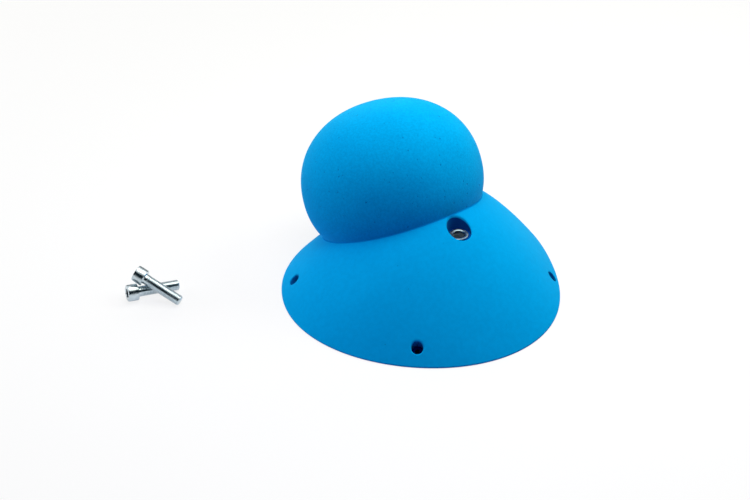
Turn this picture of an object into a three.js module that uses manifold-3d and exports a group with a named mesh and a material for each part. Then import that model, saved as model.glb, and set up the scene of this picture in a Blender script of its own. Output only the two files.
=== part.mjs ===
import * as THREE from 'three';
import { mergeVertices } from 'three/addons/utils/BufferGeometryUtils.js';
import Module from 'manifold-3d';

const wasm = await Module();
wasm.setup();

// Climbing volume: a low rounded base lobe with a ball lobe leaning out of its back left side.
// Millimetres. The flat back lies on z = 0 and +Z points away from the wall.

// Base lobe, measured about its peak
const peakX = 15.5;
const peakY = 7.5;
const peakHeight = 95.8;
const rimRadiusMean = 133.4;
const rimEdgeHeight = 1.6;
const rimWaveCosShares = [-0.087, -0.029, -0.03];
const rimWaveSinShares = [-0.081, 0.027, -0.027];
const flankExponentMean = 1.6;
const flankWaveCosShares = [-0.043, 0.003];
const flankWaveSinShares = [0.03, 0.066];

// Ball lobe
const ballX = -26.9;
const ballY = 41.2;
const ballZ = 83.8;
const ballHalfWidth = 86.5;
const ballHalfDepth = 78.6;
const ballHalfTop = 77.9;
const ballHalfUnder = 72.0;
const ballFullness = 2.151;
const ballLeanDegrees = -13.4;
const ballPitchDegrees = -20.5;

// Laminate and the clearances between bonded or resting pieces
const wallTop = 6.5;
const wallRim = 8.5;
const ballWall = 6.0;
const ledgeWidth = 14.0;
const seatGap = 0.3;
const openBelow = 6.0;

// Bolt holes, straight through to the wall
const boltHoleRadius = 5.5;
const counterboreRadius = 11.4;
const sleeveRadius = 16.0;
const washerRadius = 9.0;
const washerHoleRadius = 5.25;
const washerThickness = 1.6;
const frontBoltDegrees = -65.0;
const frontBoltRimShare = 0.2984;
const frontSeatDepth = 8.85;
const rearBoltDegrees = 65.9;
const rearSleeveMargin = 5.3;
const rearSeatHeight = 12.0;
const drillReach = 60.0;

// Anti-turn screw holes just inside the rim
const screwMouthRadius = 5.4;
const screwPilotRadius = 2.5;
const screwLeanDegrees = 22.0;
const screwDepthShare = 0.55;
const screwInset = 12.4;
const screwInsetRight = 6.6;
const screwHoles = [
  { side: 'front', degrees: -99.2, inset: screwInset },
  { side: 'left', degrees: -167.8, inset: screwInset },
  { side: 'right', degrees: -9.0, inset: screwInsetRight },
  { side: 'back', degrees: 100.0, inset: screwInset },
];

// Plywood behind the shell
const ringWidth = 26.0;
const ringThickness = 12.0;
const ribThickness = 12.0;
const ribHeight = 36.0;

// Fillet of filler along the crease between the lobes
const beadWidth = 1.6;
const beadLift = 0.35;

// Fixing bolts, M10 x 40 with a hexagon socket
const threadRadius = 5.0;
const threadLength = 40.0;
const threadTipChamfer = 1.1;
const headRadius = 8.0;
const headHeight = 10.0;
const headChamfer = 0.9;
const socketAcrossFlats = 8.0;
const socketDepth = 6.0;
const floorGap = 0.15;
const lowerTipX = -229.0;
const lowerTipY = -17.3;
const lowerTurnDegrees = 22.5;
const upperTipX = -224.9;
const upperTipY = -42.8;
const upperTurnDegrees = -23.8;
const upperPitchDegrees = 22.7;

// How finely the surfaces are divided
const outside = { domeSteps: 84, domeRings: 12, ballSteps: 72, ballRings: 26 };
const inside = { domeSteps: 56, domeRings: 8, ballSteps: 48, ballRings: 16 };
const creaseSteps = 72;
const roundSteps = 32;
const bisections = 40;
const normalStep = 0.01;
const mergeDistance = 0.001;

const half = 0.5;
const full = 2 * Math.PI;
const radians = THREE.MathUtils.degToRad;

// One, varied round the base lobe by slow waves
function waveShare(angle, cosShares, sinShares) {
  let share = 1;
  cosShares.forEach((value, index) => {
    share += value * Math.cos((index + 1) * angle);
  });
  sinShares.forEach((value, index) => {
    share += value * Math.sin((index + 1) * angle);
  });
  return share;
}

// Outline of the base lobe on the wall, at an angle about its peak
function rimRadius(angle) {
  return rimRadiusMean * waveShare(angle, rimWaveCosShares, rimWaveSinShares);
}

// Height of the base lobe over a point of the wall, drawn in by a rim and a top allowance
function domeHeight(x, y, rimIn, topIn) {
  const angle = Math.atan2(y - peakY, x - peakX);
  const share = Math.hypot(x - peakX, y - peakY) / (rimRadius(angle) - rimIn);
  const exponent = flankExponentMean * waveShare(angle, flankWaveCosShares, flankWaveSinShares);
  const rise = peakHeight - topIn - rimEdgeHeight;
  return rimEdgeHeight + rise * (1 - Math.pow(Math.min(share, 1), exponent));
}

function solidFromTriangles(positions, indices) {
  return new wasm.Manifold(new wasm.Mesh({
    numProp: 3,
    vertProperties: new Float32Array(positions),
    triVerts: new Uint32Array(indices),
  }));
}

// Rings of points closed by a point above and a point below
function solidFromRings(rings, top, bottom) {
  const positions = [];
  const indices = [];
  const count = rings[0].length;
  rings.forEach((ring) => ring.forEach((point) => positions.push(point.x, point.y, point.z)));
  const topIndex = rings.length * count;
  const bottomIndex = topIndex + 1;
  positions.push(top.x, top.y, top.z);
  positions.push(bottom.x, bottom.y, bottom.z);
  for (let i = 0; i < count; i += 1) {
    const next = (i + 1) % count;
    indices.push(topIndex, i, next);
    for (let j = 0; j + 1 < rings.length; j += 1) {
      const upper = j * count;
      const lower = upper + count;
      indices.push(upper + i, lower + i, lower + next);
      indices.push(upper + i, lower + next, upper + next);
    }
    const last = (rings.length - 1) * count;
    indices.push(last + i, bottomIndex, last + next);
  }
  return solidFromTriangles(positions, indices);
}

// Solid under the base lobe's surface, down to a flat underside
function domeSolid(detail, rimIn, topIn, below) {
  const { domeSteps, domeRings } = detail;
  const rings = [];
  for (let j = 1; j <= domeRings; j += 1) {
    const ring = [];
    for (let i = 0; i < domeSteps; i += 1) {
      const angle = (i / domeSteps) * full;
      const reach = (j / domeRings) * (rimRadius(angle) - rimIn);
      const x = peakX + reach * Math.cos(angle);
      const y = peakY + reach * Math.sin(angle);
      ring.push(new THREE.Vector3(x, y, domeHeight(x, y, rimIn, topIn)));
    }
    rings.push(ring);
  }
  const foot = rings[rings.length - 1].map((point) => new THREE.Vector3(point.x, point.y, -below));
  rings.push(foot);
  const top = new THREE.Vector3(peakX, peakY, peakHeight - topIn);
  return solidFromRings(rings, top, new THREE.Vector3(peakX, peakY, -below));
}

const ballTurn = new THREE.Euler(radians(ballPitchDegrees), radians(ballLeanDegrees), 0);
const ballCentre = new THREE.Vector3(ballX, ballY, ballZ);

// Point of the ball lobe: a rounded pillow, fuller than an ellipsoid, leaning to the back left
function ballPoint(azimuth, latitude, inset) {
  const along = Math.max(Math.cos(latitude), 0);
  const up = Math.sin(latitude);
  const size = Math.pow(along, ballFullness) + Math.pow(Math.abs(up), ballFullness);
  const scale = Math.pow(size, -1 / ballFullness);
  const halfUp = (up > 0 ? ballHalfTop : ballHalfUnder) - inset;
  const point = new THREE.Vector3(
    along * scale * Math.cos(azimuth) * (ballHalfWidth - inset),
    along * scale * Math.sin(azimuth) * (ballHalfDepth - inset),
    up * scale * halfUp,
  );
  return point.applyEuler(ballTurn).add(ballCentre);
}

function ballSolid(detail, inset) {
  const { ballSteps, ballRings } = detail;
  const rings = [];
  for (let j = 1; j < ballRings; j += 1) {
    const latitude = (half - j / ballRings) * Math.PI;
    const ring = [];
    for (let i = 0; i < ballSteps; i += 1) {
      ring.push(ballPoint((i / ballSteps) * full, latitude, inset));
    }
    rings.push(ring);
  }
  return solidFromRings(rings, ballPoint(0, half * Math.PI, inset), ballPoint(0, -half * Math.PI, inset));
}

// Upright round bar between two heights, with its corners at the given radius
function barSolid(x, y, radius, low, high) {
  const ring = [];
  for (let i = 0; i < roundSteps; i += 1) {
    const angle = (i / roundSteps) * full;
    ring.push(new THREE.Vector3(x + radius * Math.cos(angle), y + radius * Math.sin(angle), high));
  }
  const foot = ring.map((point) => new THREE.Vector3(point.x, point.y, low));
  return solidFromRings([ring, foot], new THREE.Vector3(x, y, high), new THREE.Vector3(x, y, low));
}

// Bar along any direction, from its foot point
function leaningBar(footPoint, direction, radius, length) {
  const turn = new THREE.Quaternion().setFromUnitVectors(new THREE.Vector3(0, 0, 1), direction);
  const ring = [];
  for (let i = 0; i < roundSteps; i += 1) {
    const angle = (i / roundSteps) * full;
    const point = new THREE.Vector3(radius * Math.cos(angle), radius * Math.sin(angle), 0);
    ring.push(point.applyQuaternion(turn).add(footPoint));
  }
  const rise = direction.clone().multiplyScalar(length);
  const head = ring.map((point) => point.clone().add(rise));
  return solidFromRings([head, ring], footPoint.clone().add(rise), footPoint.clone());
}

function boxSolid(lowX, highX, lowY, highY, lowZ, highZ) {
  const geometry = new THREE.BoxGeometry(highX - lowX, highY - lowY, highZ - lowZ);
  geometry.translate((lowX + highX) * half, (lowY + highY) * half, (lowZ + highZ) * half);
  return solidFromGeometry(geometry);
}

// Joins a geometry's repeated corners, so that it closes
function solidFromGeometry(geometry) {
  geometry.deleteAttribute('normal');
  geometry.deleteAttribute('uv');
  const merged = mergeVertices(geometry, mergeDistance);
  const corners = Array.from(merged.getIndex().array);
  const kept = [];
  for (let i = 0; i < corners.length; i += 3) {
    const [a, b, c] = corners.slice(i, i + 3);
    if (a !== b && b !== c && c !== a) {
      kept.push(a, b, c);
    }
  }
  return solidFromTriangles(merged.getAttribute('position').array, kept);
}

function geometryFromSolid(solid) {
  const mesh = solid.getMesh();
  const geometry = new THREE.BufferGeometry();
  const positions = [];
  for (let i = 0; i < mesh.vertProperties.length; i += mesh.numProp) {
    positions.push(mesh.vertProperties[i], mesh.vertProperties[i + 1], mesh.vertProperties[i + 2]);
  }
  geometry.setAttribute('position', new THREE.Float32BufferAttribute(positions, 3));
  geometry.setIndex(Array.from(mesh.triVerts));
  geometry.computeVertexNormals();
  return geometry;
}

// Upright prism inside the rim, drawn in by an inset
function rimPrism(inset, low, high) {
  const ring = [];
  for (let i = 0; i < inside.domeSteps; i += 1) {
    const angle = (i / inside.domeSteps) * full;
    const reach = rimRadius(angle) - inset;
    ring.push(new THREE.Vector3(peakX + reach * Math.cos(angle), peakY + reach * Math.sin(angle), high));
  }
  const foot = ring.map((point) => new THREE.Vector3(point.x, point.y, low));
  const top = new THREE.Vector3(peakX, peakY, high);
  return solidFromRings([ring, foot], top, new THREE.Vector3(peakX, peakY, low));
}

const material = (color, roughness, metalness) => {
  return new THREE.MeshStandardMaterial({ color, roughness, metalness });
};

const volume = new THREE.Group();
volume.name = 'climbing_volume';

function addPiece(name, geometry, look) {
  const mesh = new THREE.Mesh(geometry, look);
  mesh.name = name;
  volume.add(mesh);
  return mesh;
}

// The bodies that shape the shells
const domeOuter = domeSolid(outside, 0, 0, 0);
const domeInner = domeSolid(inside, wallRim, wallTop, openBelow);
const domeInnerSeat = domeSolid(inside, wallRim + seatGap, wallTop + seatGap, 0);
const domeOuterSeat = domeSolid(outside, -seatGap, -seatGap, openBelow);
const ballOuter = ballSolid(outside, 0);
const ballInner = ballSolid(inside, ballWall);
const ballPort = ballSolid(inside, ballWall + ledgeWidth);

// Point of the plan at an angle and a distance from the peak
function planPoint(angle, reach) {
  return new THREE.Vector2(peakX + reach * Math.cos(angle), peakY + reach * Math.sin(angle));
}

// Bolt holes: a counterbore for the washer and the head, and a clearance hole to the wall.
// The front seat keeps its depth under the flank, and the rear sleeve keeps clear of the rim.
const frontBoltAngle = radians(frontBoltDegrees);
const frontBolt = planPoint(frontBoltAngle, rimRadius(frontBoltAngle) * frontBoltRimShare);
const frontSeatHeight = domeHeight(frontBolt.x, frontBolt.y, 0, 0) - frontSeatDepth;
const rearBoltAngle = radians(rearBoltDegrees);
const rearBoltInset = wallRim + sleeveRadius + rearSleeveMargin;
const rearBolt = planPoint(rearBoltAngle, rimRadius(rearBoltAngle) - rearBoltInset);
const boltHoles = [
  { side: 'front', x: frontBolt.x, y: frontBolt.y, seat: frontSeatHeight },
  { side: 'rear', x: rearBolt.x, y: rearBolt.y, seat: rearSeatHeight },
];
const boltCuts = boltHoles.map((hole) => {
  const high = hole.seat + drillReach;
  const counterbore = barSolid(hole.x, hole.y, counterboreRadius, hole.seat, high);
  return counterbore.add(barSolid(hole.x, hole.y, boltHoleRadius, -openBelow, high));
});

// Screw holes: a mouth for the head and a pilot hole, leaning outwards with the flank
const screwCuts = screwHoles.map((hole) => {
  const angle = radians(hole.degrees);
  const { x, y } = planPoint(angle, rimRadius(angle) - hole.inset);
  const height = domeHeight(x, y, 0, 0);
  const lean = radians(screwLeanDegrees);
  const axis = new THREE.Vector3(
    Math.sin(lean) * Math.cos(angle),
    Math.sin(lean) * Math.sin(angle),
    Math.cos(lean),
  );
  const mouth = new THREE.Vector3(x, y, height);
  const floor = mouth.clone().addScaledVector(axis, -height * screwDepthShare);
  const start = mouth.clone().addScaledVector(axis, -height - openBelow);
  const pilotLength = height + openBelow;
  const head = leaningBar(floor, axis, screwMouthRadius, height + openBelow);
  return head.add(leaningBar(start, axis, screwPilotRadius, pilotLength));
});

// Base lobe: hollow shell, open at the back, with a port under the ball lobe
const shellBlue = 0x0a9ad8;
let domeShell = domeOuter.subtract(domeInner).subtract(ballPort);
boltCuts.concat(screwCuts).forEach((cut) => {
  domeShell = domeShell.subtract(cut);
});
addPiece('dome_shell', geometryFromSolid(domeShell), material(shellBlue, 0.5, 0));

// Ball lobe: hollow shell bonded down on the base lobe round the port
const ballShell = ballOuter.subtract(ballInner).subtract(domeOuterSeat);
addPiece('ball_shell', geometryFromSolid(ballShell), material(0x0795d4, 0.75, 0));

// Unit normals of the two lobes where they meet
function domeNormal(x, y) {
  const slopeX = domeHeight(x + normalStep, y, 0, 0) - domeHeight(x - normalStep, y, 0, 0);
  const slopeY = domeHeight(x, y + normalStep, 0, 0) - domeHeight(x, y - normalStep, 0, 0);
  return new THREE.Vector3(-slopeX, -slopeY, 2 * normalStep).normalize();
}

function ballNormal(azimuth, latitude) {
  const west = ballPoint(azimuth - normalStep, latitude, 0);
  const south = ballPoint(azimuth, latitude - normalStep, 0);
  const east = ballPoint(azimuth + normalStep, latitude, 0).sub(west);
  const north = ballPoint(azimuth, latitude + normalStep, 0).sub(south);
  return east.cross(north).normalize();
}

// Crease fillet: a three-sided strip carried round the line where the lobes meet
const creaseRings = [];
for (let i = 0; i < creaseSteps; i += 1) {
  const azimuth = (i / creaseSteps) * full;
  let high = half * Math.PI;
  let low = -half * Math.PI;
  for (let k = 0; k < bisections; k += 1) {
    const middle = (high + low) * half;
    const point = ballPoint(azimuth, middle, 0);
    if (point.z > domeHeight(point.x, point.y, 0, 0)) {
      high = middle;
    } else {
      low = middle;
    }
  }
  const point = ballPoint(azimuth, high, 0);
  const under = domeNormal(point.x, point.y);
  const above = ballNormal(azimuth, high);
  const along = under.clone().cross(above).normalize();
  const outward = along.clone().cross(under);
  outward.multiplyScalar(Math.sign(outward.dot(above)));
  const upward = along.clone().cross(above);
  upward.multiplyScalar(Math.sign(upward.dot(under)));
  const lift = beadLift / (1 + under.dot(above));
  const root = point.clone().addScaledVector(under, lift).addScaledVector(above, lift);
  const onDome = root.clone().addScaledVector(outward, beadWidth);
  const onBall = root.clone().addScaledVector(upward, beadWidth);
  creaseRings.push([root, onDome, onBall]);
}
const creasePositions = [];
const creaseIndices = [];
creaseRings.forEach((ring, i) => {
  ring.forEach((point) => creasePositions.push(point.x, point.y, point.z));
  const next = (i + 1) % creaseSteps;
  ring.forEach((point, k) => {
    const turn = (k + 1) % ring.length;
    const a = i * ring.length + k;
    const b = i * ring.length + turn;
    const c = next * ring.length + k;
    const d = next * ring.length + turn;
    creaseIndices.push(a, c, d, a, d, b);
  });
});
const creaseSolid = solidFromTriangles(creasePositions, creaseIndices);
addPiece('crease_fillet', geometryFromSolid(creaseSolid), material(0x0a86c8, 0.6, 0));

// Bolt sleeves carry the clamping load from each washer to the wall
const sleeveBars = boltHoles.map((hole) => {
  return barSolid(hole.x, hole.y, sleeveRadius, 0, hole.seat + drillReach);
});
boltHoles.forEach((hole, index) => {
  const sleeve = sleeveBars[index].intersect(domeInnerSeat).subtract(boltCuts[index]);
  addPiece(hole.side + '_bolt_sleeve', geometryFromSolid(sleeve), material(0x0a6fae, 0.6, 0));
  const low = hole.seat + seatGap;
  const high = low + washerThickness;
  const hollow = barSolid(hole.x, hole.y, washerHoleRadius, low - openBelow, high + openBelow);
  const washer = barSolid(hole.x, hole.y, washerRadius, low, high).subtract(hollow);
  addPiece(hole.side + '_bolt_washer', geometryFromSolid(washer), material(0xb9c2c6, 0.3, 1));
});

// Plywood ring behind the rim takes the anti-turn screws
const plywood = 0xc9a06a;
const ringInset = wallRim + seatGap + ringWidth;
const across = rimRadiusMean * 2;
const ringSlab = boxSolid(-across, across, -across, across, 0, ringThickness);
const ringMiddle = rimPrism(ringInset, -openBelow, ringThickness * 2);
let backingRing = domeInnerSeat.intersect(ringSlab).subtract(ringMiddle);
screwCuts.forEach((cut) => {
  backingRing = backingRing.subtract(cut);
});
boltHoles.forEach((hole) => {
  backingRing = backingRing.subtract(
    barSolid(hole.x, hole.y, sleeveRadius + seatGap, -openBelow, ringThickness * 2),
  );
});
addPiece('backing_ring', geometryFromSolid(backingRing), material(plywood, 0.8, 0));

// Two plywood ribs halved over each other where they cross, their ends seated over the ring
const ringClearHeight = ringThickness + seatGap;
const ringMiddleClear = rimPrism(ringInset + seatGap, -openBelow * 2, ringThickness * 2);
const ringSpaceSlab = boxSolid(-across, across, -across, across, -openBelow, ringClearHeight);
const ringSpace = ringSpaceSlab.subtract(ringMiddleClear);
const ribHalf = ribThickness * half;
const lapHalf = ribHalf + seatGap;
const lapHeight = ribHeight * half;
const lengthwiseBar = boxSolid(-ribHalf, ribHalf, -across, across, 0, ribHeight);
const lengthwiseLap = boxSolid(-ribThickness, ribThickness, -lapHalf, lapHalf, lapHeight, ribHeight * 2);
const lengthwiseRib = lengthwiseBar.intersect(domeInnerSeat).subtract(ringSpace).subtract(lengthwiseLap);
addPiece('lengthwise_rib', geometryFromSolid(lengthwiseRib), material(plywood, 0.8, 0));

const crosswiseBar = boxSolid(-across, across, -ribHalf, ribHalf, 0, ribHeight);
const crosswiseLap = boxSolid(
  -lapHalf, lapHalf, -ribThickness, ribThickness, -openBelow, lapHeight + seatGap,
);
const crosswiseRib = crosswiseBar.intersect(domeInnerSeat).subtract(ringSpace).subtract(crosswiseLap);
addPiece('crosswise_rib', geometryFromSolid(crosswiseRib), material(plywood, 0.8, 0));

// Socket-head bolt along +Z, with its tip at the origin and its socket open upwards
function boltGeometry() {
  const profile = [
    new THREE.Vector2(0, 0),
    new THREE.Vector2(threadRadius - threadTipChamfer, 0),
    new THREE.Vector2(threadRadius, threadTipChamfer),
    new THREE.Vector2(threadRadius, threadLength),
    new THREE.Vector2(headRadius, threadLength),
    new THREE.Vector2(headRadius, threadLength + headHeight - headChamfer),
    new THREE.Vector2(headRadius - headChamfer, threadLength + headHeight),
    new THREE.Vector2(0, threadLength + headHeight),
  ];
  const body = new THREE.LatheGeometry(profile, roundSteps);
  body.rotateX(half * Math.PI);
  const corner = socketAcrossFlats * half / Math.cos(Math.PI / 6);
  const socket = new THREE.CylinderGeometry(corner, corner, socketDepth * 2, 6);
  socket.rotateX(half * Math.PI);
  socket.translate(0, 0, threadLength + headHeight);
  return geometryFromSolid(solidFromGeometry(body).subtract(solidFromGeometry(socket)));
}

// The bolts lie crossed on the floor: the tip and the head of the lower one touch the floor,
// and the upper one leans from its tip on the floor against the lower one's head.
const zinc = () => material(0xc4ccd0, 0.25, 1);
const lowerPitch = Math.atan2(headRadius - threadRadius, threadLength);
const layBolt = (mesh, x, y, turnDegrees, pitch) => {
  const tilt = half * Math.PI - pitch;
  mesh.position.set(x, y, floorGap + threadRadius * Math.cos(pitch));
  mesh.rotation.order = 'ZYX';
  mesh.rotation.set(0, -tilt, radians(turnDegrees));
};
layBolt(addPiece('lower_bolt', boltGeometry(), zinc()), lowerTipX, lowerTipY, lowerTurnDegrees, lowerPitch);
layBolt(
  addPiece('upper_bolt', boltGeometry(), zinc()),
  upperTipX,
  upperTipY,
  upperTurnDegrees,
  radians(upperPitchDegrees),
);

export default volume;
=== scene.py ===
import bmesh
import bpy
import numpy as np
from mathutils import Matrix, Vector
from mathutils.geometry import delaunay_2d_cdt


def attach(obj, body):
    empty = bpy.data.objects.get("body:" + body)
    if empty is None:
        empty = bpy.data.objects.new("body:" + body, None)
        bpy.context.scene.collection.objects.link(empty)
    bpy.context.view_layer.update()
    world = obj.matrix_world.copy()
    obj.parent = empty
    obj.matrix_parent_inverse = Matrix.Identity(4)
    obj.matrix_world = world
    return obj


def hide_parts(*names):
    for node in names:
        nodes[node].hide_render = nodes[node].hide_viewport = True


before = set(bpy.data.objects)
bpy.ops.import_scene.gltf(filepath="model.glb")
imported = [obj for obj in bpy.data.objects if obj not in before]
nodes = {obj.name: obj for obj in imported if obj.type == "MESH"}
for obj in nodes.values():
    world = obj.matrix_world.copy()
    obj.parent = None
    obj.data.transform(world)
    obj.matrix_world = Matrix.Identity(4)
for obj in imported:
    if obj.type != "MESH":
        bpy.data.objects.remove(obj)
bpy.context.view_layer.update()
print("frame loaded:", len(nodes), "nodes")

scene = bpy.context.scene
mm = 0.001  # shapes are worked out in millimetres and stored in metres
turn = 2 * np.pi


def unit(v):
    # the same direction with a length of one
    v = np.asarray(v, float)
    return v / np.linalg.norm(v)


def turnAbout(axis, angle):
    # matrix of a turn about axis 0, 1 or 2: cosines on two places, a sine and its opposite off them
    i, j = (axis + 1) % 3, (axis + 2) % 3
    matrix = np.eye(3)
    matrix[i, i] = matrix[j, j] = np.cos(angle)
    matrix[j, i] = np.sin(angle)
    matrix[i, j] = -matrix[j, i]
    return matrix


def gridFaces(rows, columns, closed=True):
    # quads between each row of points and the next; closed joins the last column to the first
    r = np.arange(rows - 1)[:, None]
    c = np.arange(columns if closed else columns - 1)[None, :]
    a = r * columns + c
    b = r * columns + (c + 1) % columns
    return np.stack([a, b, b + columns, a + columns], -1).reshape(-1, 4)


def skin(rows, towards=None, awayFrom=None, raw=0.0, bore=0.0):
    # one surface of a piece, carried round and closed: rows is rows x columns x 3, and the faces
    # are turned to look towards one point, or away from another
    rows = np.asarray(rows, float)
    return faced(rows.reshape(-1, 3), gridFaces(*rows.shape[:2]), towards, awayFrom, raw, bore)


def faced(points, faces, towards=None, awayFrom=None, raw=0.0, bore=0.0):
    # turns the faces round if, on the whole, they look the wrong way; raw is 1 on bare laminate,
    # and bore says how much painted shade darkens a hole's skin
    a, b, c = (points[faces[:, k]] for k in (0, 1, 2))
    normal = np.cross(b - a, c - a)
    if faces.shape[1] == 4:
        normal = np.cross(c - a, points[faces[:, 3]] - b)
    centre = points[faces].mean(1)
    look = centre - awayFrom if awayFrom is not None else towards - centre
    if (normal * look).sum() < 0:
        faces = faces[:, ::-1]
    return {"points": points, "faces": faces, "raw": raw, "bore": bore}


def meshOf(name, skins, weld=0.004, sharp=38.0, outwards=False):
    # puts the skins in one mesh, welds their shared edges and poles, and shades it smooth but for
    # edges sharper than the angle; outwards turns all faces of a closed mesh to look out of it
    points = np.concatenate([s["points"] for s in skins]) * mm
    starts = np.cumsum([0] + [len(s["points"]) for s in skins[:-1]])
    faces = [f for s, k in zip(skins, starts) for f in (s["faces"] + k).tolist()]
    mesh = bpy.data.meshes.new(name)
    mesh.from_pydata(points.tolist(), [], faces)
    for key in ("raw", "bore"):
        layer = mesh.attributes.new(key, "FLOAT", "FACE")
        values = np.concatenate([np.full(len(s["faces"]), s[key]) for s in skins])
        layer.data.foreach_set("value", values.astype(np.float32))
    work = bmesh.new()
    work.from_mesh(mesh)
    bmesh.ops.remove_doubles(work, verts=work.verts, dist=weld * mm)
    bmesh.ops.dissolve_degenerate(work, edges=work.edges, dist=weld * mm * 0.1)
    if outwards:
        bmesh.ops.recalc_face_normals(work, faces=work.faces)
    work.to_mesh(mesh)
    work.free()
    mesh.shade_smooth()
    mesh.set_sharp_from_angle(angle=np.radians(sharp))
    return mesh


def addPiece(name, made, material, node, slot, body="volume", **how):
    # one dressed piece, of skins or of a mesh, in the place of its node and on its body
    mesh = meshOf(name, made, **how) if isinstance(made, list) else made
    piece = bpy.data.objects.new(name, mesh)
    scene.collection.objects.link(piece)
    mesh.materials.clear()
    mesh.materials.append(material)
    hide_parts(node)
    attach(piece, body)
    print("piece:", name, len(mesh.polygons), "faces")


def linear(code):
    # sRGB hex to the linear colour that the shader takes
    s = np.array([int(code[k:k + 2], 16) for k in (1, 3, 5)]) / 255
    s = np.where(s <= 0.04045, s / 12.92, ((s + 0.055) / 1.055) ** 2.4)
    return (*s.tolist(), 1.0)


def perMm(size):
    # texture scale, on Object coordinates in metres, for features of this size in millimetres
    return 1 / (size * mm)


def add(tree, kind, inputs, **settings):
    # one node with its settings; an input is a value, or what is linked to it: a socket, or a node,
    # which stands for its first output
    node = tree.nodes.new("ShaderNode" + kind)
    for key, value in settings.items():
        setattr(node, key, value)
    for key, value in inputs.items():
        source = value.outputs[0] if isinstance(value, bpy.types.Node) else value
        if isinstance(source, bpy.types.NodeSocket):
            tree.links.new(source, node.inputs[key])
        else:
            node.inputs[key].default_value = value
    return node


def newMaterial(name):
    # an empty material, its node tree, and the place on the object that its patterns follow
    material = bpy.data.materials.new(name)
    material.use_nodes = True
    tree = material.node_tree
    tree.nodes.clear()
    return material, tree, add(tree, "TexCoord", {}).outputs["Object"]


def finish(material, shader):
    # the shader made the material's surface
    add(material.node_tree, "OutputMaterial", {"Surface": shader})
    return material


def twoTone(material, look, share, height, gloss):
    # a finish of two tones mixed by the share, with a bump from the height and the gloss given
    tree = material.node_tree
    colour = add(tree, "Mix", {0: share, 6: linear(look["dark"]), 7: linear(look["pale"])}, data_type="RGBA")
    bump = add(tree, "Bump", {"Height": height, "Distance": look["depthMm"] * mm})
    return finish(material, add(tree, "BsdfPrincipled", {
        "Base Color": colour.outputs[2], "Roughness": look["roughness"], "Normal": bump, **gloss}))


# Gelcoat on hand-laid laminate, sprayed in a mould: a dense matte blue with no red in it. The
# base lobe's is smooth with faint pores, and the ball's has a fine gripping grain and pinholes.
# A real grain is finer than 1 mm and wouldn't show, so it is drawn at 1 mm and over. The bare
# laminate inside is resin-rich chopped strand mat, tinted by the gelcoat behind it.
gelcoats = {
    "dome_gelcoat": {"colour": "#02a0e5", "shade": "#0098dd", "grainMm": 2.0, "grainDepthMm": 0.04,
                     "grainShade": 0.09, "pitMm": 11.0, "pitShare": 0.08, "pitDepthMm": 0.25,
                     "roughness": 0.7, "sheen": 0.12},
    "ball_gelcoat": {"colour": "#02a6e6", "shade": "#0098dc", "grainMm": 1.0, "grainDepthMm": 0.22,
                     "grainShade": 0.22, "pitMm": 4.2, "pitShare": 0.3, "pitDepthMm": 0.35,
                     "roughness": 0.8, "sheen": 0.15},
    # the pit colour is painted shade in the pinholes
    "both": {"cloudMm": 45.0, "hollow": "#0160a8", "pit": "#0168b0", "warpMm": 1.3, "warpReachMm": 1.6,
             # the hole wall and hole bottom colours are painted shade, the bottom's near black
             "holeWallShade": "#001488", "holeBottomShade": "#000718", "resin": "#1f6f99", "strand": "#6fb0c8",
             "strandMm": 1.6, "strandDepthMm": 0.25, "sheenTint": "#6fe0ff"},
}
blueGloss = {"Specular IOR Level": 0.03, "Specular Tint": linear("#30b4ff")}


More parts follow.
